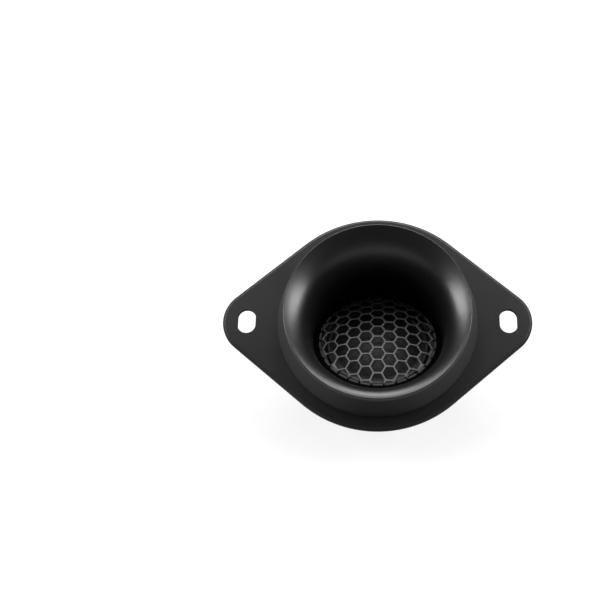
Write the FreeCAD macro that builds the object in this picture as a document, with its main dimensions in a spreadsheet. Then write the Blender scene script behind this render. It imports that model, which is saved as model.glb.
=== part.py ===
import FreeCAD, Part
import math
import os
import Sketcher

# A flush-mount car tweeter: a 25 mm soft-dome driver that fires through a short
# horn moulded in one piece with a two-eared mounting flange.  The driver is
# tilted in the flange, so that it aims at the listener.
#
# Frame: millimetres, +Z along the driver's axis and out of its mouth, +X along
# the two ears, origin at the centre of the magnet cup's back.  The flange leans
# forward, towards -Y, by the tilt.  The housing is drawn square to its flange in
# a body of its own frame, which is then placed; the driver is drawn in place.

SIZES = {
    # raised mouth
    "rim_height": 8.7,
    "rim_radius": 25.6,
    "rim_edge_round": 0.25,
    "wall_draft": 2.25,
    "near_lip_start": 11.0,
    "near_lip_end": 75.0,
    "near_wall_share": 0.42,
    "far_lip_start": 26.0,
    "far_lip_end": 82.0,
    "far_wall_share": 0.015,
    "shell_wall": 1.8,
    "rib_thickness": 1.0,
    "rib_recess": 1.2,
    "rib_count": 6,
    # flange with two slotted ears
    "flange_thickness": 1.6,
    "flange_margin": 3.65,
    "flange_edge_round": 0.9,
    "ear_radius": 9.65,
    "ear_spacing": 67.1,
    "slot_shift": 2.95,
    "slot_width": 5.0,
    "slot_length": 7.2,
    # how the driver sits in the flange
    "tilt": 22.0,
    "axis_offset": 3.45,
    "throat_depth": 11.6,
    "throat_radius": 18.6,
    "throat_land": 0.3,
    "driver_room": 6.1,
    # collar that holds the driver, and its screws
    "collar_wall": 2.1,
    "collar_overlap": 1.2,
    "collar_shoulder": 2.4,
    "boss_radius": 2.6,
    "boss_offset": 0.9,
    "boss_floor": 1.1,
    "screw_count": 3,
    "screw_shank_radius": 1.0,
    "screw_shank_length": 5.6,
    "screw_head_radius": 1.9,
    "screw_head_height": 1.3,
    "screw_recess_width": 0.5,
    "screw_recess_length": 2.2,
    "screw_recess_depth": 0.7,
    # domed hexagon mesh and the ring that carries it
    "mesh_sphere_radius": 43.0,
    "mesh_thickness": 0.5,
    "mesh_margin": 1.6,
    "mesh_hem": 0.7,
    "cell_pitch": 3.9,
    "strand_width": 0.5,
    "grille_ring_shoulder": 0.7,
    "grille_ring_height": 0.9,
    "grille_ring_width": 3.0,
    "mesh_seat_depth": 0.4,
    "gasket_thickness": 0.5,
    "gasket_width": 2.6,
    # moving diaphragm and its surround
    "dome_radius": 12.5,
    "dome_height": 4.2,
    "dome_rim": 0.5,
    "cloth_thickness": 0.2,
    "former_wall": 0.2,
    "former_tail": 0.3,
    "winding_build": 0.3,
    "winding_height": 2.7,
    "surround_gap": 0.15,
    "roll_radius": 0.85,
    "roll_land": 0.25,
    "surround_flat": 1.3,
    "clamp_ring_step": 0.3,
    "clamp_ring_width": 1.4,
    "clamp_ring_height": 0.8,
    # motor
    "cup_wall": 2.3,
    "cup_base": 2.4,
    "cup_chamfer": 0.6,
    "magnet_inset": 1.0,
    "magnet_height": 4.0,
    "pole_thickness": 2.5,
    "pole_gap": 0.4,
    "cup_gap": 0.5,
    "felt_inset": 2.8,
    "felt_thickness": 1.0,
    # driver frame
    "frame_shoulder": 1.4,
    "frame_deck": 1.4,
    "frame_lip_height": 1.4,
    "skirt_wall": 1.8,
    "skirt_height": 3.5,
    "lug_radius": 2.8,
    "lug_thickness": 1.6,
    # terminals and lead-outs
    "board_width": 15.0,
    "board_end": 2.8,
    "board_thickness": 1.2,
    "board_gap": 0.3,
    "terminal_spacing": 8.4,
    "terminal_thickness": 0.8,
    "terminal_root_width": 3.6,
    "blade_length": 6.2,
    "blade_point": 1.0,
    "positive_blade_width": 4.8,
    "negative_blade_width": 2.8,
    "positive_hole_radius": 0.85,
    "negative_hole_radius": 0.6,
    "rivet_gap": 0.2,
    "rivet_radius": 0.8,
    "rivet_head_radius": 1.4,
    "rivet_head_height": 0.5,
    "wire_radius": 0.18,
    "wire_inset": 0.8,
    "wire_bend": 0.8,
    "wire_groove_width": 0.8,
    "solder_radius": 0.9,
    "solder_height": 0.5,
    # clearances: fitted parts, the frame in its collar, screw threads
    "fit": 0.1,
    "collar_fit": 0.3,
    "screw_fit": 0.03,
}


class Size:
    """A length, an angle or a ratio: its value, and the sheet expression that gives it."""

    def __init__(self, value, text):
        self.value = value
        self.text = text

    def __add__(self, other):
        other = as_size(other)
        return Size(self.value + other.value, f"({self.text} + {other.text})")

    def __sub__(self, other):
        other = as_size(other)
        return Size(self.value - other.value, f"({self.text} - {other.text})")

    def __mul__(self, other):
        other = as_size(other)
        return Size(self.value * other.value, f"({self.text} * {other.text})")

    def __truediv__(self, other):
        other = as_size(other)
        return Size(self.value / other.value, f"({self.text} / {other.text})")

    def __neg__(self):
        return Size(-self.value, f"(0 - {self.text})")


def as_size(item):
    """A plain number as a Size, and a Size as it is."""
    if isinstance(item, Size):
        return item
    return Size(float(item), f"({item})")


def sine(angle):
    return Size(math.sin(math.radians(angle.value)), f"sin({angle.text})")


def cosine(angle):
    return Size(math.cos(math.radians(angle.value)), f"cos({angle.text})")


def arctangent(slope):
    return Size(math.degrees(math.atan(slope.value)), f"atan({slope.text})")


def root(number):
    return Size(math.sqrt(number.value), f"sqrt({number.text})")


doc = FreeCAD.newDocument("CarTweeter")
sheet = doc.addObject("Spreadsheet::Sheet", "Sizes")
for row, (name, value) in enumerate(SIZES.items(), start=1):
    sheet.set(f"A{row}", name)
    sheet.set(f"B{row}", str(value))
    sheet.setAlias(f"B{row}", name)
doc.recompute()


def size(name):
    """One driving dimension, read from the sheet."""
    return Size(float(SIZES[name]), f"Sizes.{name}")


# ---------------------------------------------------------------- drawing aids

def new_body(name):
    body = doc.addObject("PartDesign::Body", name)
    body.Label = name
    body.AllowCompound = True
    return body


def bind(item, **sizes):
    """Bind properties of a feature to sizes."""
    for name, value in sizes.items():
        item.setExpression(name, as_size(value).text)
    return item


def place(item, x=0, y=0, z=0, turn=None, axis=FreeCAD.Vector(1, 0, 0), prop="Placement"):
    """Bind a placement: a shift, and a turn about one axis."""
    x, y, z = as_size(x), as_size(y), as_size(z)
    angle = as_size(turn if turn is not None else 0)
    shift = FreeCAD.Vector(x.value, y.value, z.value)
    setattr(item, prop, FreeCAD.Placement(shift, FreeCAD.Rotation(axis, angle.value)))
    item.setExpression(f"{prop}.Base.x", x.text)
    item.setExpression(f"{prop}.Base.y", y.text)
    item.setExpression(f"{prop}.Base.z", z.text)
    if turn is not None:
        item.setExpression(f"{prop}.Rotation.Angle", angle.text)
    return item


def new_sketch(body, name, plane="XY_Plane", **offset):
    """A sketch on one of the body's own planes, shifted or turned from it."""
    sketch = body.newObject("Sketcher::SketchObject", name)
    support = [item for item in body.Origin.OriginFeatures if item.Role == plane][0]
    sketch.AttachmentSupport = (support, [""])
    sketch.MapMode = "FlatFace"
    if offset:
        place(sketch, prop="AttachmentOffset", **offset)
    return sketch


def tie(sketch, axis, curve, end, distance):
    """Hold one coordinate of a point at a distance from the sketch's origin."""
    distance = as_size(distance)
    if abs(distance.value) < 1e-9:
        line = -2 if axis == "X" else -1
        sketch.addConstraint(Sketcher.Constraint("PointOnObject", curve, end, line))
        return
    rule = Sketcher.Constraint(f"Distance{axis}", -1, 1, curve, end, distance.value)
    number = sketch.addConstraint(rule)
    sketch.setExpression(f"Constraints[{number}]", distance.text)


def draw_loop(sketch, points, arcs=None):
    """A closed outline through points.

    arcs gives, for the number of a side that is round, its centre and +1 where it
    runs anticlockwise or -1 where it runs clockwise.
    """
    arcs = arcs or {}
    points = [(as_size(x), as_size(y)) for x, y in points]
    ends = []
    for side, (x, y) in enumerate(points):
        next_x, next_y = points[(side + 1) % len(points)]
        start = FreeCAD.Vector(x.value, y.value, 0)
        finish = FreeCAD.Vector(next_x.value, next_y.value, 0)
        if side not in arcs:
            curve = sketch.addGeometry(Part.LineSegment(start, finish))
            ends.append((curve, 1, 2))
            continue
        centre_x, centre_y, turn = arcs[side]
        centre_x, centre_y = as_size(centre_x), as_size(centre_y)
        centre = FreeCAD.Vector(centre_x.value, centre_y.value, 0)
        first, last = (start, finish) if turn > 0 else (finish, start)
        first_angle = math.atan2(first.y - centre.y, first.x - centre.x)
        last_angle = math.atan2(last.y - centre.y, last.x - centre.x)
        circle = Part.Circle(centre, FreeCAD.Vector(0, 0, 1), (first - centre).Length)
        if last_angle <= first_angle:
            last_angle += 2 * math.pi
        curve = sketch.addGeometry(Part.ArcOfCircle(circle, first_angle, last_angle))
        ends.append((curve, 1, 2) if turn > 0 else (curve, 2, 1))
        chord = finish - start
        if abs(chord.y) > abs(chord.x):
            tie(sketch, "X", curve, 3, centre_x)
        else:
            tie(sketch, "Y", curve, 3, centre_y)
    for side, (curve, start_end, finish_end) in enumerate(ends):
        next_curve, next_start, _ = ends[(side + 1) % len(ends)]
        joint = Sketcher.Constraint("Coincident", curve, finish_end, next_curve, next_start)
        sketch.addConstraint(joint)
        tie(sketch, "X", curve, start_end, points[side][0])
        tie(sketch, "Y", curve, start_end, points[side][1])


def draw_circle(sketch, x, y, radius):
    radius = as_size(radius)
    centre = FreeCAD.Vector(as_size(x).value, as_size(y).value, 0)
    curve = sketch.addGeometry(Part.Circle(centre, FreeCAD.Vector(0, 0, 1), radius.value))
    tie(sketch, "X", curve, 3, x)
    tie(sketch, "Y", curve, 3, y)
    number = sketch.addConstraint(Sketcher.Constraint("Radius", curve, radius.value))
    sketch.setExpression(f"Constraints[{number}]", radius.text)


def draw_box(sketch, left, right, bottom, top):
    draw_loop(sketch, [(left, bottom), (right, bottom), (right, top), (left, top)])


def feature(body, kind, name, sketch, **settings):
    """A PartDesign feature made from a sketch."""
    item = body.newObject(f"PartDesign::{kind}", name)
    item.Profile = sketch
    for key, value in settings.items():
        setattr(item, key, value)
    return item


def pad(body, name, sketch, length, **settings):
    return bind(feature(body, "Pad", name, sketch, **settings), Length=length)


def pocket(body, name, sketch, depth, **settings):
    return bind(feature(body, "Pocket", name, sketch, **settings), Length=depth)


def turned(body, name, sketch, kind="Revolution"):
    """A profile turned once round its sketch's upright axis."""
    item = feature(body, kind, name, sketch, ReferenceAxis=(sketch, ["V_Axis"]))
    item.Angle = 360
    return item


def ring_body(name, inner, outer, bottom, top):
    """A plain ring about the driver's axis."""
    body = new_body(name)
    sketch = new_sketch(body, f"{name}_section", "XZ_Plane")
    draw_box(sketch, inner, outer, bottom, top)
    turned(body, f"{name}_turned", sketch)
    return body


def round_edges(body, name, base, radius, is_wanted):
    """Round the edges of a feature that pass a test."""
    doc.recompute()
    edges = [f"Edge{number}" for number, edge in enumerate(base.Shape.Edges, start=1)
             if is_wanted(edge)]
    fillet = body.newObject("PartDesign::Fillet", name)
    fillet.Base = (base, edges)
    return bind(fillet, Radius=radius)


def polar(body, name, base, count):
    """Copies of one feature about the driver's axis."""
    pattern = body.newObject("PartDesign::PolarPattern", name)
    pattern.Originals = [base]
    pattern.Axis = (base.Profile[0], ["N_Axis"])
    pattern.Angle = 360
    bind(pattern, Occurrences=count)
    body.Tip = pattern
    return pattern


# ------------------------------------------- levels and radii of the driver's stack
# Heights are along the driver's axis, up from the cup's back; radii are about it.

fit = size("fit")
pole_bottom = size("cup_base") + size("magnet_height")
cup_top = pole_bottom + size("pole_thickness")
deck_top = cup_top + size("frame_deck")
cloth_top = deck_top + size("cloth_thickness")
frame_top = deck_top + size("frame_lip_height")
gasket_top = frame_top + size("gasket_thickness")
grille_seat = gasket_top + size("grille_ring_height")
throat_level = grille_seat + size("throat_land")
lug_top = cup_top + size("lug_thickness")

throat_radius = size("throat_radius")
dome_radius = size("dome_radius")
spread = (throat_radius - dome_radius) / size("driver_room")


def width(name):
    """A radial width of the driver, spread with the room from the dome to the throat."""
    return size(name) * spread


dome_edge = dome_radius + width("dome_rim")
former_inner = dome_radius + size("cloth_thickness")
former_outer = former_inner + width("former_wall")
winding_outer = former_outer + width("winding_build")
cup_bore = winding_outer + width("cup_gap")
cup_radius = cup_bore + width("cup_wall")
flat_inner = dome_edge + width("surround_gap")
roll_inner = flat_inner + width("roll_land")
roll_centre = roll_inner + width("roll_radius")
roll_outer = roll_centre + width("roll_radius")
surround_outer = roll_outer + width("surround_flat")
clamp_outer = surround_outer + width("clamp_ring_step")
clamp_inner = clamp_outer - width("clamp_ring_width")
frame_pocket = clamp_outer + fit

ring_radius = throat_radius + size("grille_ring_shoulder")
frame_radius = throat_radius + size("frame_shoulder")
collar_bore = frame_radius + size("collar_fit")
collar_radius = collar_bore + size("collar_wall")
screw_circle = collar_radius + size("boss_offset")

# ------------------------------------------------------------------- horn housing
# One black moulding: flange with slotted ears, raised mouth with a rolled lip,
# tilted horn, and behind it a collar with three screw bosses for the driver.
# It is drawn with the flange's back on its own XY plane.

tilt = size("tilt")
flange_face = size("flange_thickness")
rim_level = flange_face + size("rim_height")
throat_y = size("axis_offset") * cosine(tilt) - size("throat_depth") * sine(tilt)
throat_z = flange_face - size("axis_offset") * sine(tilt) - size("throat_depth") * cosine(tilt)

housing = new_body("horn_housing")
place(
    housing,
    y=size("flange_thickness") * sine(tilt) - size("axis_offset"),
    z=throat_level + size("throat_depth") - size("flange_thickness") * cosine(tilt),
    turn=tilt,
)


def along_driver(level):
    """Where the driver's axis reaches a level, in the housing's own frame."""
    rise = level - throat_level
    return {"y": throat_y + rise * sine(tilt), "z": throat_z + rise * cosine(tilt), "turn": -tilt}


flange_sketch = new_sketch(housing, "flange_outline")
ear_x = size("ear_spacing") / 2
wall_base = size("rim_radius") + size("wall_draft")
flange_radius = wall_base + size("flange_margin")
lean = (flange_radius - size("ear_radius")) / ear_x
rise = root(as_size(1) - lean * lean)
lobe = (flange_radius * lean, flange_radius * rise)
ear = (ear_x + size("ear_radius") * lean, size("ear_radius") * rise)
draw_loop(
    flange_sketch,
    [(ear[0], -ear[1]), ear, lobe, (-lobe[0], lobe[1]),
     (-ear[0], ear[1]), (-ear[0], -ear[1]), (-lobe[0], -lobe[1]), (lobe[0], -lobe[1])],
    {0: (ear_x, 0, 1), 2: (0, 0, 1), 4: (-ear_x, 0, 1), 6: (0, 0, 1)},
)
flange = pad(housing, "flange", flange_sketch, size("flange_thickness"))
flange_round = round_edges(
    housing, "flange_round", flange, size("flange_edge_round"),
    lambda edge: abs(edge.BoundBox.ZMin - flange_face.value) < 1e-6,
)

slot_sketch = new_sketch(housing, "ear_slots")
slot_x = ear_x + size("slot_shift")
slot_half = size("slot_width") / 2
slot_reach = (size("slot_length") - size("slot_width")) / 2
for centre_x in (-slot_x, slot_x):
    draw_loop(
        slot_sketch,
        [(centre_x + slot_half, -slot_reach), (centre_x + slot_half, slot_reach),
         (centre_x - slot_half, slot_reach), (centre_x - slot_half, -slot_reach)],
        {1: (centre_x, slot_reach, 1), 3: (centre_x, -slot_reach, 1)},
    )
pocket(housing, "slots", slot_sketch, size("flange_thickness"), Reversed=True)

# The mouth's outer wall is drafted for the mould, and its top edge barely broken.
mouth_sketch = new_sketch(housing, "mouth_outside", "XZ_Plane")
draw_loop(
    mouth_sketch,
    [(0, flange_face), (wall_base, flange_face), (size("rim_radius"), rim_level), (0, rim_level)],
)
mouth = turned(housing, "mouth", mouth_sketch)
round_edges(
    housing, "rim_round", mouth, size("rim_edge_round"),
    lambda edge: edge.BoundBox.ZMin > rim_level.value - 1e-6 and edge.BoundBox.XLength > 1,
)

# It is cored from behind, which leaves a wall of even thickness.
core_sketch = new_sketch(housing, "mouth_core", "XZ_Plane")
core_top = rim_level - size("shell_wall")
core_draft = size("wall_draft") * (size("rim_height") - size("shell_wall")) / size("rim_height")
core_radius = wall_base - size("shell_wall")
draw_loop(
    core_sketch,
    [(0, 0), (core_radius, 0), (core_radius, flange_face), (core_radius - core_draft, core_top),
     (0, core_top)],
)
turned(housing, "core", core_sketch, "Groove")

# Ribs tie the mouth's outer wall to the horn.
horn_outside = throat_radius + size("shell_wall")
rib_sketch = new_sketch(housing, "rib_outline", z=size("rib_recess"))
rib_half = size("rib_thickness") / 2
rib_reach = core_radius - core_draft + size("rib_thickness") / 2
draw_box(rib_sketch, horn_outside, rib_reach, -rib_half, rib_half)
rib = pad(housing, "rib", rib_sketch, core_top - size("rib_recess") + size("shell_wall") / 2)
polar(housing, "ribs", rib, size("rib_count"))

# The horn is a loft of circles from the level rim to the tilted throat.  Its lip is a
# tight roll on the near side, where the throat is close, and a long slope on the far
# side; round the sides it passes from one to the other.  Below it the wall is straight.
lip_crest = size("rim_radius") - size("rim_edge_round")
lip_steps = 5
wall_steps = 3


def throat_point(side, wall):
    """How far out and how high the throat's edge is on one side."""
    radius = throat_radius + wall
    reach = radius * cosine(tilt)
    rise = radius * sine(tilt)
    if side == "near":
        return reach - throat_y, throat_z + rise
    return reach + throat_y, throat_z - rise


def lip_point(side, share, wall):
    """How far out and how high the lip is on one side, a share of the way down its arc."""
    start = size(f"{side}_lip_start")
    end = size(f"{side}_lip_end")
    angle = start + (end - start) * share
    room = lip_crest - throat_point(side, as_size(0))[0]
    radius = room * (as_size(1) - size(f"{side}_wall_share")) / (sine(end) - sine(start))
    reach = lip_crest - radius * (sine(angle) - sine(start)) + wall * sine(angle)
    level = rim_level - radius * (cosine(start) - cosine(angle)) - wall * cosine(angle)
    return reach, level


def wall_point(side, share, wall):
    """A share of the way down the straight wall from the lip's foot to the throat."""
    foot_reach, foot_level = lip_point(side, 1, wall)
    throat_edge, throat_edge_level = throat_point(side, wall)
    return (foot_reach + (throat_edge - foot_reach) * share,
            foot_level + (throat_edge_level - foot_level) * share)


def horn_circle(name, near, far):
    """A circle through a point on the near side and one on the far side."""
    across = near[0] + far[0]
    drop = far[1] - near[1]
    sketch = new_sketch(housing, name, y=(far[0] - near[0]) / 2, z=(near[1] + far[1]) / 2,
                        turn=arctangent(drop / across))
    draw_circle(sketch, 0, 0, root(across * across + drop * drop) / 2)
    return sketch


def horn(name, kind, wall):
    """The loft a wall's thickness outside the horn's surface."""
    crest = (lip_crest, rim_level - wall)
    circles = [horn_circle(f"{name}_crest", crest, crest)]
    for step in range(1, lip_steps + 1):
        share = step / lip_steps
        circles.append(horn_circle(f"{name}_lip_{step}", lip_point("near", share, wall),
                                   lip_point("far", share, wall)))
    for step in range(1, wall_steps + 1):
        share = step / wall_steps
        circles.append(horn_circle(f"{name}_wall_{step}", wall_point("near", share, wall),
                                   wall_point("far", share, wall)))
    loft = feature(housing, kind, name, circles[0])
    loft.Sections = circles[1:]
    return loft


horn("horn_shell", "AdditiveLoft", size("shell_wall"))

# The collar takes the driver's frame from behind.
collar_base = lug_top - throat_level
collar_top = size("collar_overlap")
collar_sketch = new_sketch(housing, "collar_section", "YZ_Plane")
place(collar_sketch, x=throat_y, y=throat_z, turn=-tilt, axis=FreeCAD.Vector(0, 0, 1),
      prop="AttachmentOffset")
draw_loop(
    collar_sketch,
    [(0, collar_base), (collar_radius, collar_base),
     (collar_radius, collar_top), (horn_outside, collar_top + size("collar_shoulder")),
     (0, collar_top + size("collar_shoulder"))],
)
turned(housing, "collar", collar_sketch)

pilot_depth = size("screw_shank_length") - size("lug_thickness") + size("collar_fit")
boss_sketch = new_sketch(housing, "boss_outline", **along_driver(lug_top))
draw_circle(boss_sketch, 0, -screw_circle, size("boss_radius"))
boss = pad(housing, "boss", boss_sketch, pilot_depth + size("boss_floor"))
polar(housing, "bosses", boss, size("screw_count"))

horn("horn_hollow", "SubtractiveLoft", as_size(0))

# Stepped bore behind the throat: the frame's recess, then the grille ring's.
bore_sketch = new_sketch(housing, "bore_section", "YZ_Plane")
place(bore_sketch, x=throat_y, y=throat_z, turn=-tilt, axis=FreeCAD.Vector(0, 0, 1),
      prop="AttachmentOffset")
draw_loop(
    bore_sketch,
    [(0, collar_base), (collar_bore, collar_base), (collar_bore, gasket_top - throat_level),
     (ring_radius + fit, gasket_top - throat_level), (ring_radius + fit, grille_seat - throat_level),
     (throat_radius, grille_seat - throat_level), (throat_radius, 0), (0, 0)],
)
turned(housing, "bore", bore_sketch, "Groove")

pilot_sketch = new_sketch(housing, "pilot_outline", **along_driver(lug_top))
draw_circle(pilot_sketch, 0, -screw_circle, size("screw_shank_radius") + size("screw_fit"))
pilot = pocket(housing, "pilot", pilot_sketch, pilot_depth, Reversed=True)
polar(housing, "pilots", pilot, size("screw_count"))

# -------------------------------------------------------------- grille and its ring
# A dark steel mesh of hexagon cells, pressed to a shallow dome with a flat hem.

mesh_seat = grille_seat - size("mesh_seat_depth")
mesh_radius = throat_radius - size("mesh_margin")
hem_inner = mesh_radius - size("mesh_hem")
mesh_top = mesh_seat + size("mesh_thickness")
sphere = size("mesh_sphere_radius")
inside_sphere = sphere - size("mesh_thickness")
sphere_centre = mesh_top - root(sphere * sphere - hem_inner * hem_inner)
under_radius = root(inside_sphere * inside_sphere
                    - (mesh_seat - sphere_centre) * (mesh_seat - sphere_centre))

mesh_sheet = new_body("mesh_sheet")
mesh_section = new_sketch(mesh_sheet, "mesh_section", "XZ_Plane")
draw_loop(
    mesh_section,
    [(0, sphere_centre + inside_sphere), (under_radius, mesh_seat), (mesh_radius, mesh_seat),
     (mesh_radius, mesh_top), (hem_inner, mesh_top), (0, sphere_centre + sphere)],
    {0: (0, sphere_centre, -1), 4: (0, sphere_centre, 1)},
)
turned(mesh_sheet, "mesh_turned", mesh_section)

cell_side = size("cell_pitch") / root(as_size(3))
cell_column = cell_side * 1.5
hole_corner = (size("cell_pitch") - size("strand_width")) / root(as_size(3))
hole_height = sphere_centre + sphere - mesh_seat + size("mesh_thickness")
reach = int(mesh_radius.value / size("cell_pitch").value) + 2
holes = []
for column in range(-reach, reach + 1):
    for row in range(-reach, reach + 1):
        step = row + (column % 2) / 2
        centre = (cell_column * column, size("cell_pitch") * step)
        distance = math.hypot(centre[0].value, centre[1].value)
        if distance > hem_inner.value + hole_corner.value / 2:
            continue
        hole = doc.addObject("Part::Prism", f"cell_{len(holes) + 1}")
        hole.Polygon = 6
        bind(hole, Circumradius=hole_corner, Height=hole_height)
        place(hole, centre[0], centre[1], mesh_seat - size("mesh_thickness") / 2)
        holes.append(hole)
all_holes = doc.addObject("Part::Compound", "all_cells")
all_holes.Links = holes
hem_limit = doc.addObject("Part::Cylinder", "hem_limit")
bind(hem_limit, Radius=hem_inner, Height=hole_height)
place(hem_limit, z=mesh_seat - size("mesh_thickness") / 2)
open_cells = doc.addObject("Part::Common", "open_cells")
open_cells.Base = all_holes
open_cells.Tool = hem_limit
grille_mesh = doc.addObject("Part::Cut", "grille_mesh")
grille_mesh.Base = mesh_sheet
grille_mesh.Tool = open_cells

ring_inner = ring_radius - size("grille_ring_width")
grille_ring = new_body("grille_ring")
ring_section = new_sketch(grille_ring, "ring_section", "XZ_Plane")
draw_loop(
    ring_section,
    [(ring_inner, gasket_top), (ring_radius, gasket_top), (ring_radius, grille_seat),
     (mesh_radius + fit, grille_seat), (mesh_radius + fit, mesh_seat),
     (ring_inner, mesh_seat)],
)
turned(grille_ring, "ring_turned", ring_section)

front_gasket = ring_body("front_gasket", frame_radius - width("gasket_width"), frame_radius,
                         frame_top, gasket_top)

# --------------------------------------------------------------------- driver frame
# Moulded ring: a skirt glued round the magnet cup, a deck for the diaphragm, a lip,
# three screw lugs and a tab for the terminals.

skirt_inner = cup_radius + fit
skirt_outer = skirt_inner + width("skirt_wall")
driver_frame = new_body("driver_frame")
frame_section = new_sketch(driver_frame, "frame_section", "XZ_Plane")
draw_loop(
    frame_section,
    [(skirt_inner, cup_top - size("skirt_height")), (skirt_outer, cup_top - size("skirt_height")),
     (skirt_outer, cup_top), (frame_radius, cup_top), (frame_radius, frame_top),
     (frame_pocket, frame_top), (frame_pocket, deck_top), (roll_centre, deck_top),
     (roll_centre, cup_top), (skirt_inner, cup_top)],
)
turned(driver_frame, "frame_turned", frame_section)

lug_sketch = new_sketch(driver_frame, "lug_outline", z=cup_top)
lug_y = -screw_circle
draw_loop(
    lug_sketch,
    [(-size("lug_radius"), -skirt_outer), (-size("lug_radius"), lug_y),
     (size("lug_radius"), lug_y), (size("lug_radius"), -skirt_outer)],
    {1: (0, lug_y, 1)},
)
lug = pad(driver_frame, "lug", lug_sketch, size("lug_thickness"))
polar(driver_frame, "lugs", lug, size("screw_count"))

rivet_y = collar_radius + size("rivet_head_radius") + size("rivet_gap")
wire_y = frame_radius - size("wire_inset")
board_inner = skirt_outer + size("board_gap")
board_outer = rivet_y + size("board_end")
board_half = size("board_width") / 2
tab_sketch = new_sketch(driver_frame, "tab_outline", z=cup_top)
draw_box(tab_sketch, -board_half, board_half, board_inner, board_outer - fit)
pad(driver_frame, "terminal_tab", tab_sketch, size("lug_thickness"))

lug_hole_sketch = new_sketch(driver_frame, "lug_hole_outline", z=cup_top)
draw_circle(lug_hole_sketch, 0, lug_y, size("screw_shank_radius") + fit)
lug_hole = pocket(driver_frame, "lug_hole", lug_hole_sketch, size("lug_thickness"), Reversed=True)
polar(driver_frame, "lug_holes", lug_hole, size("screw_count"))

terminal_x = size("terminal_spacing") / 2
wire_level = cloth_top + size("clamp_ring_height") + size("wire_radius")
groove_half = size("wire_groove_width") / 2
groove_sketch = new_sketch(driver_frame, "wire_groove_outline", z=frame_top)
for side_x in (-terminal_x, terminal_x):
    draw_loop(
        groove_sketch,
        [(side_x + groove_half, roll_centre), (side_x + groove_half, wire_y),
         (side_x - groove_half, wire_y), (side_x - groove_half, roll_centre)],
        {1: (side_x, wire_y, 1)},
    )
pocket(driver_frame, "wire_grooves", groove_sketch, frame_top - wire_level + size("wire_radius"))


def paired_holes(body, name, y, radius, level, depth, up=True):
    """A hole at each terminal."""
    sketch = new_sketch(body, f"{name}_outline", z=level)
    for side_x in (-terminal_x, terminal_x):
        draw_circle(sketch, side_x, y, radius)
    return pocket(body, name, sketch, depth, Reversed=up)


paired_holes(driver_frame, "wire_holes", wire_y, groove_half, cup_top, frame_top - cup_top)
paired_holes(driver_frame, "tab_rivet_holes", rivet_y, size("rivet_radius") + fit, cup_top,
             size("lug_thickness"))

# --------------------------------------------------------------------------- motor
# Neodymium disc between a turned steel pole plate and a pressed steel cup.

magnet_cup = new_body("magnet_cup")
cup_section = new_sketch(magnet_cup, "cup_section", "XZ_Plane")
draw_loop(
    cup_section,
    [(0, 0), (cup_radius - size("cup_chamfer"), 0), (cup_radius, size("cup_chamfer")),
     (cup_radius, cup_top), (cup_bore, cup_top), (cup_bore, size("cup_base")),
     (0, size("cup_base"))],
)
turned(magnet_cup, "cup_turned", cup_section)


def disc(name, radius, bottom, height):
    item = doc.addObject("Part::Cylinder", name)
    bind(item, Radius=radius, Height=height)
    return place(item, z=bottom)


pole_radius = former_inner - size("pole_gap")
magnet = disc("magnet", pole_radius - size("magnet_inset"), size("cup_base"), size("magnet_height"))
pole_plate = disc("pole_plate", pole_radius, pole_bottom, size("pole_thickness"))
damping_felt = disc("damping_felt", pole_radius - size("felt_inset"), cup_top,
                    size("felt_thickness"))

# --------------------------------------------------------------- moving diaphragm
# Coated silk dome on a thin former with the voice coil wound round it.

dome_top = cloth_top + size("dome_height")
dome_under = dome_top - size("cloth_thickness")
under_edge = dome_radius - size("cloth_thickness")


def cap_centre(top, edge_radius, edge_level):
    """The centre of a sphere through a crown and a round edge."""
    height = top - edge_level
    return top - (edge_radius * edge_radius + height * height) / (height * 2)


dome = new_body("dome_diaphragm")
dome_section = new_sketch(dome, "dome_section", "XZ_Plane")
draw_loop(
    dome_section,
    [(0, dome_under), (under_edge, deck_top), (dome_edge, deck_top), (dome_edge, cloth_top),
     (dome_radius, cloth_top), (0, dome_top)],
    {0: (0, cap_centre(dome_under, under_edge, deck_top), -1),
     4: (0, cap_centre(dome_top, dome_radius, cloth_top), 1)},
)
turned(dome, "dome_turned", dome_section)

gap_middle = (pole_bottom + cup_top) / 2
winding_bottom = gap_middle - size("winding_height") / 2
voice_coil_former = ring_body("voice_coil_former", former_inner, former_outer,
                              winding_bottom - size("former_tail"), deck_top)
voice_coil_winding = ring_body("voice_coil_winding", former_outer, winding_outer,
                               winding_bottom, winding_bottom + size("winding_height"))

# The surround's half roll carries the dome and its flat is clamped to the deck.
roll_under = width("roll_radius") - size("cloth_thickness")
surround = new_body("surround")
surround_section = new_sketch(surround, "surround_section", "XZ_Plane")
draw_loop(
    surround_section,
    [(flat_inner, deck_top), (roll_centre - roll_under, deck_top),
     (roll_centre + roll_under, deck_top), (surround_outer, deck_top),
     (surround_outer, cloth_top), (roll_outer, cloth_top), (roll_inner, cloth_top),
     (flat_inner, cloth_top)],
    {1: (roll_centre, deck_top, -1), 5: (roll_centre, cloth_top, 1)},
)
turned(surround, "surround_turned", surround_section)

diaphragm_ring = ring_body("diaphragm_ring", clamp_inner, clamp_outer, cloth_top,
                           cloth_top + size("clamp_ring_height"))

# ----------------------------------------------------------------------- terminals
# A brown laminate board riveted under the frame's tab, with a wide positive and a
# narrow negative push-on blade, and the coil's lead-outs soldered to their roots.

board_bottom = cup_top - size("board_thickness")
terminal_board = new_body("terminal_board")
board_sketch = new_sketch(terminal_board, "board_outline", z=board_bottom)
draw_box(board_sketch, -board_half, board_half, board_inner, board_outer)
pad(terminal_board, "board", board_sketch, size("board_thickness"))
paired_holes(terminal_board, "board_wire_holes", wire_y, groove_half, board_bottom,
             size("board_thickness"))
paired_holes(terminal_board, "board_rivet_holes", rivet_y, size("rivet_radius") + fit, board_bottom,
             size("board_thickness"))

terminal_bottom = board_bottom - size("terminal_thickness")


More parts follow.
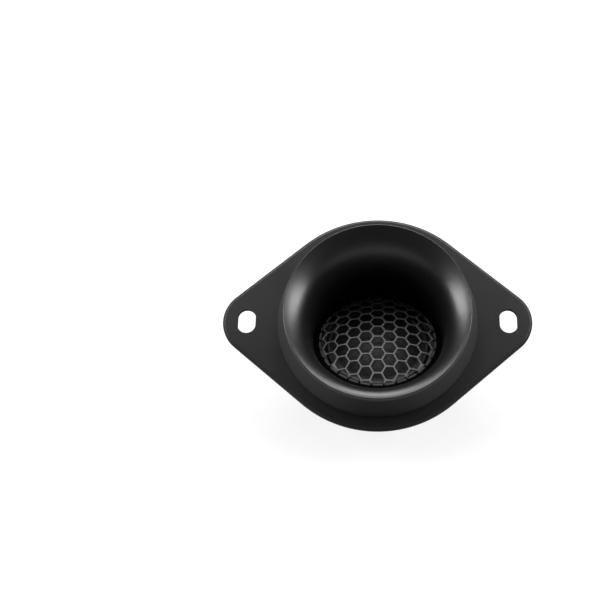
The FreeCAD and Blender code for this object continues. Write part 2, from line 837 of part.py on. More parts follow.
def terminal(name, x, blade_width, hole_radius):
    """A flat blade that widens or narrows from its riveted root and ends in a point."""
    body = new_body(name)
    sketch = new_sketch(body, f"{name}_outline", z=terminal_bottom)
    root_half = size("terminal_root_width") / 2
    blade_half = blade_width / 2
    tip = board_outer + size("blade_length")
    point = size("blade_point")
    draw_loop(
        sketch,
        [(x - root_half, board_inner + fit), (x + root_half, board_inner + fit),
         (x + root_half, board_outer), (x + blade_half, board_outer + point / 2),
         (x + blade_half, tip - point), (x + blade_half - point, tip),
         (x - blade_half + point, tip), (x - blade_half, tip - point),
         (x - blade_half, board_outer + point / 2), (x - root_half, board_outer)],
    )
    pad(body, f"{name}_blade", sketch, size("terminal_thickness"))
    hole_sketch = new_sketch(body, f"{name}_hole_outline", z=terminal_bottom)
    draw_circle(hole_sketch, x, wire_y, size("wire_radius") + fit)
    draw_circle(hole_sketch, x, rivet_y, size("rivet_radius") + fit)
    draw_circle(hole_sketch, x, board_outer + size("blade_length") / 2 + point / 2, hole_radius)
    pocket(body, f"{name}_holes", hole_sketch, size("terminal_thickness"), Reversed=True)
    return body


positive_terminal = terminal("positive_terminal", terminal_x, size("positive_blade_width"),
                             size("positive_hole_radius"))
negative_terminal = terminal("negative_terminal", -terminal_x, size("negative_blade_width"),
                             size("negative_hole_radius"))


def mirrored(body, name, base):
    """The same feature on the other side of the YZ plane."""
    copy = body.newObject("PartDesign::Mirrored", name)
    copy.Originals = [base]
    plane = [item for item in body.Origin.OriginFeatures if item.Role == "YZ_Plane"][0]
    copy.MirrorPlane = (plane, [""])
    body.Tip = copy
    return copy


def turned_stud(body, name, x, y, points, arcs=None):
    """A small turned piece on its own axis, parallel to the driver's."""
    sketch = new_sketch(body, f"{name}_section", "XZ_Plane", x=x, z=-as_size(y))
    draw_loop(sketch, points, arcs)
    return turned(body, f"{name}_turned", sketch)


rivets = new_body("terminal_rivets")
head_low = terminal_bottom - size("rivet_head_height")
head_high = lug_top + size("rivet_head_height")
rivet = turned_stud(
    rivets, "rivet", terminal_x, rivet_y,
    [(0, head_low), (size("rivet_head_radius"), head_low),
     (size("rivet_head_radius"), terminal_bottom), (size("rivet_radius"), terminal_bottom),
     (size("rivet_radius"), lug_top), (size("rivet_head_radius"), lug_top),
     (size("rivet_head_radius"), head_high), (0, head_high)],
)
mirrored(rivets, "rivet_pair", rivet)

solder_joints = new_body("solder_joints")
solder_low = terminal_bottom - size("solder_height")
solder = turned_stud(
    solder_joints, "solder", terminal_x, wire_y,
    [(0, solder_low), (size("solder_radius"), terminal_bottom), (0, terminal_bottom)],
    {0: (0, cap_centre(solder_low, size("solder_radius"), terminal_bottom), 1)},
)
mirrored(solder_joints, "solder_pair", solder)

# Lead-outs: across the clamp ring in grooves, then down through frame and board.
wires = new_body("lead_out_wires")
wire_path = new_sketch(wires, "wire_path", "YZ_Plane", z=terminal_x)
bend = size("wire_bend")
path_points = [(clamp_inner, wire_level), (wire_y - bend, wire_level), (wire_y, wire_level - bend),
               (wire_y, terminal_bottom)]
flat_run = wire_path.addGeometry(Part.LineSegment(
    FreeCAD.Vector(path_points[0][0].value, path_points[0][1].value, 0),
    FreeCAD.Vector(path_points[1][0].value, path_points[1][1].value, 0)))
bend_circle = Part.Circle(
    FreeCAD.Vector(path_points[1][0].value, path_points[2][1].value, 0),
    FreeCAD.Vector(0, 0, 1), bend.value)
bend_run = wire_path.addGeometry(Part.ArcOfCircle(bend_circle, 0, math.pi / 2))
down_run = wire_path.addGeometry(Part.LineSegment(
    FreeCAD.Vector(path_points[2][0].value, path_points[2][1].value, 0),
    FreeCAD.Vector(path_points[3][0].value, path_points[3][1].value, 0)))
wire_path.addConstraint(Sketcher.Constraint("Coincident", flat_run, 2, bend_run, 2))
wire_path.addConstraint(Sketcher.Constraint("Coincident", bend_run, 1, down_run, 1))
for axis_number, axis_name in enumerate("XY"):
    tie(wire_path, axis_name, flat_run, 1, path_points[0][axis_number])
    tie(wire_path, axis_name, flat_run, 2, path_points[1][axis_number])
    tie(wire_path, axis_name, down_run, 1, path_points[2][axis_number])
    tie(wire_path, axis_name, down_run, 2, path_points[3][axis_number])
tie(wire_path, "Y", bend_run, 3, path_points[2][1])
wire_circle = new_sketch(wires, "wire_circle", "XZ_Plane", x=terminal_x, y=wire_level,
                         z=-clamp_inner)
draw_circle(wire_circle, 0, 0, size("wire_radius"))
wire = wires.newObject("PartDesign::AdditivePipe", "wire")
wire.Profile = wire_circle
wire.Spine = wire_path
mirrored(wires, "wire_pair", wire)

# Three self-tapping screws hold the driver's frame to the housing's bosses.
screws = new_body("frame_screws")
screw_low = cup_top - size("screw_head_height")
screw_sketch = new_sketch(screws, "screw_section", "XZ_Plane", z=screw_circle)
draw_loop(
    screw_sketch,
    [(0, screw_low), (size("screw_head_radius"), screw_low), (size("screw_head_radius"), cup_top),
     (size("screw_shank_radius"), cup_top),
     (size("screw_shank_radius"), cup_top + size("screw_shank_length") - size("screw_shank_radius")),
     (0, cup_top + size("screw_shank_length"))],
)
screw = turned(screws, "screw", screw_sketch)
recess_sketch = new_sketch(screws, "recess_outline", z=screw_low)
across = size("screw_recess_length") / 2
slim = size("screw_recess_width") / 2
draw_loop(
    recess_sketch,
    [(slim, lug_y - across), (slim, lug_y - slim), (across, lug_y - slim), (across, lug_y + slim),
     (slim, lug_y + slim), (slim, lug_y + across), (-slim, lug_y + across), (-slim, lug_y + slim),
     (-across, lug_y + slim), (-across, lug_y - slim), (-slim, lug_y - slim),
     (-slim, lug_y - across)],
)
recess = pocket(screws, "recess", recess_sketch, size("screw_recess_depth"), Reversed=True)
screw_pattern = screws.newObject("PartDesign::PolarPattern", "screw_ring")
screw_pattern.Originals = [screw, recess]
screw_pattern.Axis = (recess_sketch, ["N_Axis"])
screw_pattern.Angle = 360
bind(screw_pattern, Occurrences=size("screw_count"))
screws.Tip = screw_pattern

# -------------------------------------------------------------------------- export

NODES = [
    housing, grille_mesh, grille_ring, front_gasket, driver_frame, magnet_cup, magnet, pole_plate,
    damping_felt, dome, voice_coil_former, voice_coil_winding, surround, diaphragm_ring,
    terminal_board, positive_terminal, negative_terminal, rivets, solder_joints, wires, screws,
]

doc.recompute()
for item in doc.Objects:
    for state in ("Invalid", "Error"):
        if state in item.State:
            raise RuntimeError(f"{item.Name} is {state}")
os.makedirs("parts", exist_ok=True)
for node in NODES:
    if node.Shape.isNull() or not node.Shape.isValid():
        raise RuntimeError(f"{node.Label} has no valid shape")
    node.Shape.exportStep(f"parts/{node.Label}.step")
    box = node.Shape.BoundBox
    print(f"{node.Label:20s} {len(node.Shape.Solids)} solids {node.Shape.Volume:9.1f} mm3 "
          f"z {box.ZMin:6.2f} to {box.ZMax:6.2f}")
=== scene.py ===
import math

import bmesh
import bpy
import numpy as np
from mathutils import Matrix, Vector, noise


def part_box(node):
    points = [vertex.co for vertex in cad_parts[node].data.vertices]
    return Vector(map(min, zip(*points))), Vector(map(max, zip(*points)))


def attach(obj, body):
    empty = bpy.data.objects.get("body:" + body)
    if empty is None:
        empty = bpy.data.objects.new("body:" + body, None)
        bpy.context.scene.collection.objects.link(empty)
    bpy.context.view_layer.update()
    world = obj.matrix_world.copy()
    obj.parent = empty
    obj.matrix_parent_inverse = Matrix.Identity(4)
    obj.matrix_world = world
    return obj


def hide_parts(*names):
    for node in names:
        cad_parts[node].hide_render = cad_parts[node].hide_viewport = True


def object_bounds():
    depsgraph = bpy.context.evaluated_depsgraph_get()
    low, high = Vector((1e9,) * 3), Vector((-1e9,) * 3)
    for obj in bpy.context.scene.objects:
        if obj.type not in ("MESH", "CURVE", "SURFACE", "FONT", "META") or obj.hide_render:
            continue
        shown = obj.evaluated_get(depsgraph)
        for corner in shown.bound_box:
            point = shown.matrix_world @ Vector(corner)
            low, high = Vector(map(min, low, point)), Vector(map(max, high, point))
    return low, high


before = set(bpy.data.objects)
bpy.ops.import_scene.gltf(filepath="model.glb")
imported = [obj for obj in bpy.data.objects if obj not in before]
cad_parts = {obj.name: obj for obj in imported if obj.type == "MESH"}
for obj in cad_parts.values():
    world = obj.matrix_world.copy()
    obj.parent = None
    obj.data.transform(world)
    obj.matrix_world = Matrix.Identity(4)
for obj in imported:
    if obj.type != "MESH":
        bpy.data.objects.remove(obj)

cad_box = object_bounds()

# ---------------------------------------------------------------------- magnet cup
# Deep-drawn steel cup that closes the magnet's circuit, zinc plated.  Its flat back
# carries the whole tweeter; the draw leaves a soft outer corner and a centring dimple.

MM = 0.001


def colour(code):
    """A linear colour from its hex code."""
    parts = [int(code[start:start + 2], 16) / 255 for start in (1, 3, 5)]
    return [part / 12.92 if part <= 0.04045 else ((part + 0.055) / 1.055) ** 2.4
            for part in parts] + [1.0]


def new_finish(name):
    """A fresh material, with its tree, its shader and the place on the piece in metres."""
    material = bpy.data.materials.new(name)
    material.use_nodes = True
    tree = material.node_tree
    place = tree.nodes.new("ShaderNodeTexCoord").outputs["Object"]
    return material, tree, tree.nodes["Principled BSDF"], place


def node(tree, kind, sockets=None, **settings):
    """Add a node, or take one that is there, and give it settings, values and links."""
    item = tree.nodes.new(f"ShaderNode{kind}") if isinstance(kind, str) else kind
    for key, value in settings.items():
        setattr(item, key, value)
    for key, value in (sockets or {}).items():
        if isinstance(value, bpy.types.NodeSocket):
            tree.links.new(value, item.inputs[key])
        else:
            item.inputs[key].default_value = value
    return item


def cell_scale(size):
    """The scale at which a noise has cells of a size in mm."""
    return 1 / (size * MM)


def band_scale(spacing):
    """The scale at which a wave has bands at a spacing in mm; at scale 1 it is tau / 20 m."""
    return math.tau / 20 / (spacing * MM)


def lathe(bm, outline, steps=192, centre=(0, 0)):
    """Turn an outline of (radius, height, corner round), in mm, about an upright axis."""
    arc_steps = 5
    path = []
    for number, (radius, height, corner) in enumerate(outline):
        here = Vector((radius, height))
        if corner <= 0:
            path.append(here)
            continue
        before = Vector(outline[number - 1][:2]) - here
        after = Vector(outline[(number + 1) % len(outline)][:2]) - here
        half = before.angle(after) / 2
        before.normalize()
        after.normalize()
        middle = here + (before + after).normalized() * corner / math.sin(half)
        start = here + before * corner / math.tan(half) - middle
        end = here + after * corner / math.tan(half) - middle
        for step in range(arc_steps + 1):
            turn = -start.angle_signed(end) * step / arc_steps
            path.append(middle + Matrix.Rotation(turn, 2) @ start)
    rings = []
    for point in path:
        on_axis = point.x < 1e-5
        rings.append([bm.verts.new(((centre[0] + point.x * math.cos(math.tau * step / steps)) * MM,
                                    (centre[1] + point.x * math.sin(math.tau * step / steps)) * MM,
                                    point.y * MM)) for step in range(1 if on_axis else steps)])
    for ring, following in zip(rings, rings[1:] + rings[:1]):
        for step in range(steps):
            beside = (step + 1) % steps
            corners = [ring[step % len(ring)], ring[beside % len(ring)],
                       following[beside % len(following)], following[step % len(following)]]
            corners = list(dict.fromkeys(corners))
            if len(corners) > 2:
                bm.faces.new(corners)


def make_piece(name, bm, material, slot, *nodes, body="housing", crease=40):
    """Close a mesh into a piece that rides on a body and stands for CAD nodes."""
    bmesh.ops.recalc_face_normals(bm, faces=bm.faces)
    mesh = bpy.data.meshes.new(name)
    bm.to_mesh(mesh)
    bm.free()
    mesh.materials.append(material)
    mesh.shade_smooth()
    mesh.set_sharp_from_angle(angle=math.radians(crease))
    piece = bpy.data.objects.new(name, mesh)
    bpy.context.scene.collection.objects.link(piece)
    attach(piece, body)
    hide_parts(*nodes)
    return piece


def levels(name):
    """The lowest and highest level of a CAD node, and how far out it reaches, in mm."""
    low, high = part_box(name)
    return low[2] / MM, high[2] / MM, high[0] / MM


# Bright zinc: cool grey metal, cloudy where the plating bath left it thicker, with
# faint rings that the drawing die rubbed in.
zinc, tree, shader, place = new_finish("zinc_plated_steel")
cloud = node(tree, "TexNoise", {"Vector": place, "Scale": cell_scale(3.85), "Detail": 4.0})
tint = node(tree, "Mix", {0: cloud.outputs["Fac"], 6: colour("#b4b7bb"), 7: colour("#c9cbce")},
            data_type="RGBA")
rubbed = node(tree, "TexWave", {"Vector": place, "Scale": band_scale(0.449), "Distortion": 1.5,
                                "Detail": 3.0}, wave_type="RINGS", rings_direction="Z")
dull = node(tree, "MapRange", {"Value": cloud.outputs["Fac"], "To Min": 0.24, "To Max": 0.42})
ripple = node(tree, "Bump", {"Height": rubbed.outputs["Fac"], "Strength": 0.5,
                             "Distance": 0.000004})
node(tree, shader, {"Base Color": tint.outputs[2], "Roughness": dull.outputs["Result"],
                    "Normal": ripple.outputs["Normal"], "Metallic": 1.0})

cup_low, cup_top, cup_radius = levels("magnet_cup")
cup_bore = 13.7
cup_floor = cup_low + 2.4
dimple_radius = 1.3
dimple_depth = 0.35
bm = bmesh.new()
lathe(bm, [(0, cup_low + dimple_depth, 0), (dimple_radius - 0.5, cup_low + dimple_depth, 0.15),
           (dimple_radius, cup_low, 0.15), (cup_radius - 0.62, cup_low, 0),
           (cup_radius - 0.28, cup_low + 0.1, 0), (cup_radius - 0.08, cup_low + 0.34, 0),
           (cup_radius, cup_low + 0.7, 0), (cup_radius, cup_top, 0.2), (cup_bore, cup_top, 0.15),
           (cup_bore, cup_floor, 0.3), (0, cup_floor, 0)])
make_piece("drawn_cup", bm, zinc, "zinc_plated_steel", "magnet_cup")

# ----------------------------------------------------------- magnet and pole plate
# Sintered neodymium disc, nickel plated, glued in the cup under a turned steel plate
# that leads the field into the coil's gap.


def finish_node(name, material):
    """Give a CAD node its finish."""
    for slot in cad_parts[name].material_slots:
        slot.material = material


def dress(name, material, edge):
    """Give a CAD node its finish, and break its sharp edges by a width in mm."""
    finish_node(name, material)
    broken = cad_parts[name].modifiers.new("broken_edges", "BEVEL")
    broken.width = edge * MM
    broken.segments = 2
    broken.limit_method = "ANGLE"
    broken.angle_limit = math.radians(50)
    broken.harden_normals = True


# Satin nickel: slightly yellow metal with soft pressing pits under the plating.
nickel, tree, shader, place = new_finish("nickel_plated_neodymium")
pits = node(tree, "TexNoise", {"Vector": place, "Scale": cell_scale(0.714), "Detail": 2.0})
tint = node(tree, "Mix", {0: pits.outputs["Fac"], 6: colour("#c4c1ba"), 7: colour("#d2cfc8")},
            data_type="RGBA")
dull = node(tree, "MapRange", {"Value": pits.outputs["Fac"], "To Min": 0.18, "To Max": 0.32})
soft = node(tree, "Bump", {"Height": pits.outputs["Fac"], "Strength": 0.4, "Distance": 0.000008})
node(tree, shader, {"Base Color": tint.outputs[2], "Roughness": dull.outputs["Result"],
                    "Normal": soft.outputs["Normal"], "Metallic": 1.0})
dress("magnet", nickel, 0.3)

# Turned steel: grey metal with the tool's fine rings round the axis.
turned, tree, shader, place = new_finish("turned_steel")
tool = node(tree, "TexWave", {"Vector": place, "Scale": band_scale(0.196), "Distortion": 0.4,
                              "Detail": 2.0}, wave_type="RINGS", rings_direction="Z")
dull = node(tree, "MapRange", {"Value": tool.outputs["Fac"], "To Min": 0.26, "To Max": 0.4})
rings = node(tree, "Bump", {"Height": tool.outputs["Fac"], "Strength": 0.6, "Distance": 0.000006})
node(tree, shader, {"Base Color": colour("#b6b6b8"), "Roughness": dull.outputs["Result"],
                    "Normal": rings.outputs["Normal"], "Metallic": 1.0})
dress("pole_plate", turned, 0.2)

# -------------------------------------------------------------------- damping felt
# Disc punched from pressed wool felt and glued on the pole plate, where it takes the
# ring out of the air under the dome.  Its edge is loose with cut fibres.


def roughen(bm, height, cell):
    """Move each point of a mesh along its normal by a seeded noise, sizes in mm."""
    bm.normal_update()
    shifts = [point.normal * noise.noise(point.co / (cell * MM)) * height * MM
              for point in bm.verts]
    for point, shift in zip(bm.verts, shifts):
        point.co += shift


# Grey wool: matt, mottled by darker and lighter fibres that lie every way.
felt, tree, shader, place = new_finish("grey_wool_felt")
fibres = node(tree, "TexNoise", {"Vector": place, "Scale": cell_scale(0.385), "Detail": 8.0,
                                 "Distortion": 2.0})
tint = node(tree, "Mix", {0: fibres.outputs["Fac"], 6: colour("#54555a"), 7: colour("#8b8c90")},
            data_type="RGBA")
fuzz = node(tree, "Bump", {"Height": fibres.outputs["Fac"], "Strength": 0.9, "Distance": 0.00012})
node(tree, shader, {"Base Color": tint.outputs[2], "Normal": fuzz.outputs["Normal"],
                    "Roughness": 0.95, "Sheen Weight": 0.25, "Sheen Roughness": 0.6})

felt_low, felt_top, felt_radius = levels("damping_felt")
# The fibres stand out from a body drawn this much smaller.
felt_radius -= 0.08
felt_low += 0.05
felt_top -= 0.06
felt_rings = 9
bm = bmesh.new()
lathe(bm, [(felt_radius * ring / felt_rings, felt_top, 0) for ring in range(felt_rings)]
      + [(felt_radius, felt_top, 0.2), (felt_radius, felt_low, 0.1), (0, felt_low, 0)], 96)
roughen(bm, 0.05, 0.5)
make_piece("felt_disc", bm, felt, "grey_wool_felt", "damping_felt")

# -------------------------------------------------------------------- driver frame
# Moulded ring of glass-filled nylon: its skirt is glued round the cup, its deck takes
# the diaphragm, and three lugs and a tab stick out for the screws and the terminals.

# Glass-filled nylon: dull black, drier and greyer where the short glass fibres have
# come to the surface.
nylon, tree, shader, place = new_finish("glass_filled_nylon")
glass = node(tree, "TexNoise", {"Vector": place, "Scale": cell_scale(0.312), "Detail": 5.0,
                                "Distortion": 1.2})
flow = node(tree, "TexNoise", {"Vector": place, "Scale": cell_scale(8.33), "Detail": 3.0})
tint = node(tree, "Mix", {0: glass.outputs["Fac"], 6: colour("#1b1b1d"), 7: colour("#303033")},
            data_type="RGBA")
dull = node(tree, "MapRange", {"Value": flow.outputs["Fac"], "To Min": 0.46, "To Max": 0.62})
dry = node(tree, "Bump", {"Height": glass.outputs["Fac"], "Strength": 0.5, "Distance": 0.00002})
node(tree, shader, {"Base Color": tint.outputs[2], "Roughness": dull.outputs["Result"],
                    "Normal": dry.outputs["Normal"], "IOR": 1.53})
dress("driver_frame", nylon, 0.12)

# ------------------------------------------------------------- voice coil and former
# One layer of enamelled copper wire wound round a thin aluminium tube, which is glued
# to the dome's edge and moves with it in the gap.

# Rolled foil: bright aluminium with fine lines along the rolling direction.
foil, tree, shader, place = new_finish("aluminium_foil")
rolled = node(tree, "TexWave", {"Vector": place, "Scale": band_scale(0.209), "Distortion": 0.6},
              bands_direction="Z")
dull = node(tree, "MapRange", {"Value": rolled.outputs["Fac"], "To Min": 0.22, "To Max": 0.36})
node(tree, shader, {"Base Color": colour("#dcdcde"), "Roughness": dull.outputs["Result"],
                    "Metallic": 1.0})
finish_node("voice_coil_former", foil)

# Enamelled copper: warm metal under a clear lacquer that pools a little unevenly.
copper, tree, shader, place = new_finish("enamelled_copper")
pool = node(tree, "TexNoise", {"Vector": place, "Scale": cell_scale(1.11), "Detail": 3.0})
tint = node(tree, "Mix", {0: pool.outputs["Fac"], 6: colour("#b0602f"), 7: colour("#cc7a44")},
            data_type="RGBA")
dull = node(tree, "MapRange", {"Value": pool.outputs["Fac"], "To Min": 0.2, "To Max": 0.34})
node(tree, shader, {"Base Color": tint.outputs[2], "Roughness": dull.outputs["Result"],
                    "Metallic": 1.0, "Coat Weight": 0.6, "Coat Roughness": 0.1})

coil_low, coil_top, coil_radius = levels("voice_coil_winding")
coil_inner = 12.91
turns = 9
arc_steps = 8
wire_round = (coil_top - coil_low) / turns / 2
outline = [(coil_inner, coil_top, 0), (coil_inner, coil_low, 0)]
for turn in range(turns):
    middle = coil_low + wire_round * (2 * turn + 1)
    for step in range(1, arc_steps):
        angle = math.pi * (step / arc_steps - 0.5)
        outline.append((coil_radius - wire_round + wire_round * math.cos(angle),
                        middle + wire_round * math.sin(angle), 0))
bm = bmesh.new()
lathe(bm, outline, 96)
make_piece("coil_turns", bm, copper, "enamelled_copper", "voice_coil_winding", body="diaphragm")

# -------------------------------------------------------------------- silk dome
# Woven silk pressed to a 25 mm dome and brushed with a thin tacky coating.  Its rim is
# a narrow flat that is glued to the coil's tube.

# Coated silk: the dark grey weave shows as a fine square grid, with clots where the
# coating filled it.  The real threads are a quarter of a millimetre apart, too fine to
# show, so they are drawn at twice that.
thread_spacing = 0.5
silk, tree, shader, place = new_finish("coated_silk")
waves = {"Vector": place, "Scale": band_scale(thread_spacing), "Distortion": 0.3, "Detail": 1.0,
         "Detail Scale": 0.4}
warp = node(tree, "TexWave", waves, bands_direction="X")
weft = node(tree, "TexWave", waves, bands_direction="Y")
weave = node(tree, "Math", {0: warp.outputs["Fac"], 1: weft.outputs["Fac"]}, operation="MULTIPLY")
brushed = node(tree, "TexNoise", {"Vector": place, "Scale": cell_scale(3.33), "Detail": 3.0})
clots = node(tree, "TexNoise", {"Vector": place, "Scale": cell_scale(0.385), "Detail": 2.0})
clotted = node(tree, "MapRange", {"Value": clots.outputs["Fac"], "From Min": 0.35,
                                  "From Max": 0.65})
thread = node(tree, "Math", {0: weave.outputs[0], 1: clotted.outputs["Result"]},
              operation="MULTIPLY")
grid = node(tree, "Mix", {0: thread.outputs[0], 6: colour("#0a0a0b"), 7: colour("#47484b")},
            data_type="RGBA")
shade = node(tree, "MapRange", {"Value": brushed.outputs["Fac"], "To Min": 0.5, "To Max": 0.75})
cloth_bump = node(tree, "Bump", {"Height": weave.outputs[0], "Strength": 0.7, "Distance": 0.00008})
node(tree, shader, {"Base Color": grid.outputs[2], "Roughness": shade.outputs["Result"],
                    "Normal": cloth_bump.outputs["Normal"], "IOR": 1.45, "Sheen Weight": 0.04,
                    "Sheen Roughness": 0.5})


def cap(edge_radius, edge_level, crown):
    """Points of a round cap from its crown to its edge."""
    count = 28
    height = crown - edge_level
    ball_radius = (edge_radius ** 2 + height ** 2) / (2 * height)
    angles = [math.asin(edge_radius / ball_radius) * step / count for step in range(count + 1)]
    return [(ball_radius * math.sin(angle), crown - ball_radius * (1 - math.cos(angle)), 0)
            for angle in angles]


dome_low, dome_top, dome_edge = levels("dome_diaphragm")
cloth = 0.2
dome_radius = 12.5
bm = bmesh.new()
lathe(bm, cap(dome_radius, dome_low + cloth, dome_top)
      + [(dome_edge, dome_low + cloth, 0.05), (dome_edge, dome_low, 0.05)]
      + cap(dome_radius - cloth, dome_low, dome_top - cloth)[::-1])
make_piece("silk_dome", bm, silk, "coated_silk", "dome_diaphragm", body="diaphragm")

# ------------------------------------------------------------------------ surround
# A half roll of the same cloth, coated softer, that lets the dome move.  Its outer
# flat is clamped to the frame's deck and its inner edge meets the dome's rim.

# Coated surround cloth: evenly dark and rubbery, its threads half hidden under a
# thicker coating than the dome's.
roll_cloth, tree, shader, place = new_finish("coated_silk_surround")
threads = node(tree, "TexWave", {"Vector": place, "Scale": band_scale(thread_spacing),
                                 "Distortion": 1.0}, bands_direction="DIAGONAL")
smear = node(tree, "TexNoise", {"Vector": place, "Scale": cell_scale(2.0), "Detail": 4.0})
tint = node(tree, "Mix", {0: smear.outputs["Fac"], 6: colour("#121213"), 7: colour("#1e1e20")},
            data_type="RGBA")
faint = node(tree, "Bump", {"Height": threads.outputs["Fac"], "Strength": 0.4, "Distance": 0.00004})
node(tree, shader, {"Base Color": tint.outputs[2], "Normal": faint.outputs["Normal"],
                    "Roughness": 0.5, "IOR": 1.5})

roll_middle = 14.25
roll_round = 0.85
flat_inner = dome_edge + 0.02
flat_outer = 16.4
cloth_top = dome_low + cloth
# A hair above the deck, so that no two faces lie in one plane.
cloth_low = dome_low + 0.01
half_turn = [math.pi * step / 16 for step in range(17)]
over = [(roll_middle - roll_round * math.cos(angle), cloth_top + roll_round * math.sin(angle), 0)
        for angle in half_turn]
under = [(roll_middle + (roll_round - cloth) * math.cos(angle),
          cloth_low + (roll_round - cloth) * math.sin(angle), 0) for angle in half_turn]
bm = bmesh.new()
lathe(bm, [(flat_inner, cloth_low, 0), (flat_inner, cloth_top, 0)] + over
      + [(flat_outer, cloth_top, 0), (flat_outer, cloth_low, 0)] + under)
make_piece("half_roll", bm, roll_cloth, "coated_silk_surround", "surround")

# ---------------------------------------------------------------------- clamp ring
# Grey polycarbonate ring pressed over the surround's flat; it holds the cloth evenly
# all round and keeps the lead-outs off it.

# Polycarbonate: smooth dark grey with a soft shine and faint flow marks.
ring_grey, tree, shader, place = new_finish("grey_polycarbonate")
flow = node(tree, "TexNoise", {"Vector": place, "Scale": cell_scale(5.56), "Detail": 4.0})
tint = node(tree, "Mix", {0: flow.outputs["Fac"], 6: colour("#18181a"), 7: colour("#232325")},
            data_type="RGBA")
dull = node(tree, "MapRange", {"Value": flow.outputs["Fac"], "To Min": 0.36, "To Max": 0.48})
node(tree, shader, {"Base Color": tint.outputs[2], "Roughness": dull.outputs["Result"],
                    "IOR": 1.58})

clamp_low, clamp_top, clamp_radius = levels("diaphragm_ring")
# A hair clear of the cloth and the frame, for the same reason.
clamp_low += 0.01
clamp_radius -= 0.02
clamp_inner = 15.3
bm = bmesh.new()
lathe(bm, [(clamp_inner, clamp_low, 0.05), (clamp_radius, clamp_low, 0.05),
           (clamp_radius, clamp_top - 0.25, 0.1), (clamp_radius - 0.28, clamp_top, 0.15),
           (clamp_inner + 0.2, clamp_top, 0.15), (clamp_inner, clamp_top - 0.3, 0.1)])
make_piece("clamp_ring", bm, ring_grey, "grey_polycarbonate", "diaphragm_ring")

# ------------------------------------------------------- terminal board and blades
# A strip of brown paper laminate riveted under the frame's tab carries two stamped
# brass blades, a wide positive one and a narrow negative one.

# Paper laminate: warm brown, with the resin's mottling and the sheets' thin layers,
# which show as stripes on the sawn edges.
laminate, tree, shader, place = new_finish("brown_phenolic_laminate")
mottle = node(tree, "TexNoise", {"Vector": place, "Scale": cell_scale(1.43), "Detail": 6.0})
sheets = node(tree, "TexWave", {"Vector": place, "Scale": band_scale(0.175), "Distortion": 1.0},
              bands_direction="Z")
tint = node(tree, "Mix", {0: mottle.outputs["Fac"], 6: colour("#6b3f22"), 7: colour("#8c5a34")},
            data_type="RGBA")
striped = node(tree, "Mix", {0: sheets.outputs["Fac"], 6: tint.outputs[2], 7: colour("#7b4c2a")},
               data_type="RGBA")
sawn = node(tree, "Bump", {"Height": mottle.outputs["Fac"], "Strength": 0.4, "Distance": 0.00002})
node(tree, shader, {"Base Color": striped.outputs[2], "Normal": sawn.outputs["Normal"],
                    "Roughness": 0.42, "IOR": 1.55})
dress("terminal_board", laminate, 0.1)

# Tinned brass: grey metal with a warm tone, dull from stamping, with streaks along the
# strip that are nine times as long as they are wide.
tinned, tree, shader, place = new_finish("tinned_brass")
along = node(tree, "Mapping", {"Vector": place, "Scale": (9.0, 1.0, 9.0)})
streak = node(tree, "TexNoise", {"Vector": along.outputs["Vector"], "Scale": cell_scale(2.0),
                                 "Detail": 4.0})
tint = node(tree, "Mix", {0: streak.outputs["Fac"], 6: colour("#97958e"), 7: colour("#b1afa8")},
            data_type="RGBA")
dull = node(tree, "MapRange", {"Value": streak.outputs["Fac"], "To Min": 0.34, "To Max": 0.52})
lines = node(tree, "Bump", {"Height": streak.outputs["Fac"], "Strength": 0.3, "Distance": 0.00001})
node(tree, shader, {"Base Color": tint.outputs[2], "Roughness": dull.outputs["Result"],
                    "Normal": lines.outputs["Normal"], "Metallic": 1.0})
dress("positive_terminal", tinned, 0.1)
dress("negative_terminal", tinned, 0.1)

# Semi-tubular rivets: a set head below, a rolled head above with its hollow shank's
# mouth in the middle.
rivet_metal, tree, shader, place = new_finish("tinned_rivet_steel")
rolled = node(tree, "TexNoise", {"Vector": place, "Scale": cell_scale(0.556), "Detail": 3.0})
dull = node(tree, "MapRange", {"Value": rolled.outputs["Fac"], "To Min": 0.28, "To Max": 0.5})
knocks = node(tree, "Bump", {"Height": rolled.outputs["Fac"], "Strength": 0.5, "Distance": 0.00002})
node(tree, shader, {"Base Color": colour("#a3a3a0"), "Roughness": dull.outputs["Result"],
                    "Normal": knocks.outputs["Normal"], "Metallic": 1.0})

rivet_low, rivet_high, rivet_reach = levels("terminal_rivets")
rivet_head = 1.4
rivet_shank = 0.8
hollow_radius = 0.5
rivet_x = rivet_reach - rivet_head
rivet_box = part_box("terminal_rivets")
rivet_y = (rivet_box[0][1] + rivet_box[1][1]) / 2 / MM
blade_low = levels("positive_terminal")[0]
tab_top = rivet_high - 0.5
bm = bmesh.new()
for side in (-1, 1):
    lathe(bm, [(0, rivet_low, 0), (rivet_head - 0.45, rivet_low, 0.3),
               (rivet_head, blade_low - 0.2, 0.12), (rivet_head, blade_low, 0),
               (rivet_shank, blade_low, 0), (rivet_shank, tab_top, 0), (rivet_head, tab_top, 0.1),
               (rivet_head - 0.15, rivet_high - 0.15, 0.12), (rivet_head - 0.55, rivet_high, 0.2),
               (hollow_radius, rivet_high - 0.25, 0.15),
               (hollow_radius - 0.08, rivet_high - 1.3, 0.05), (0, rivet_high - 1.45, 0)],
          48, (side * rivet_x, rivet_y))
make_piece("rolled_rivets", bm, rivet_metal, "tinned_rivet_steel", "terminal_rivets")

# ------------------------------------------------------- lead-outs and solder joints
# The coil's lead-outs, three fine strands twisted together, lie in the frame's grooves
# and go down through frame and board to the blades, where they are soldered.


def join_rings(bm, rings):
    """Skin rings that have as many points each, and close both ends."""
    for ring, following in zip(rings, rings[1:]):
        for number in range(len(ring)):
            beside = (number + 1) % len(ring)
            bm.faces.new((ring[number], ring[beside], following[beside], following[number]))
    bm.faces.new(rings[0][::-1])
    bm.faces.new(rings[-1])


def heading(path, number):
    """The direction of a path at one of its points."""
    return (path[min(number + 1, len(path) - 1)] - path[max(number - 1, 0)]).normalized()


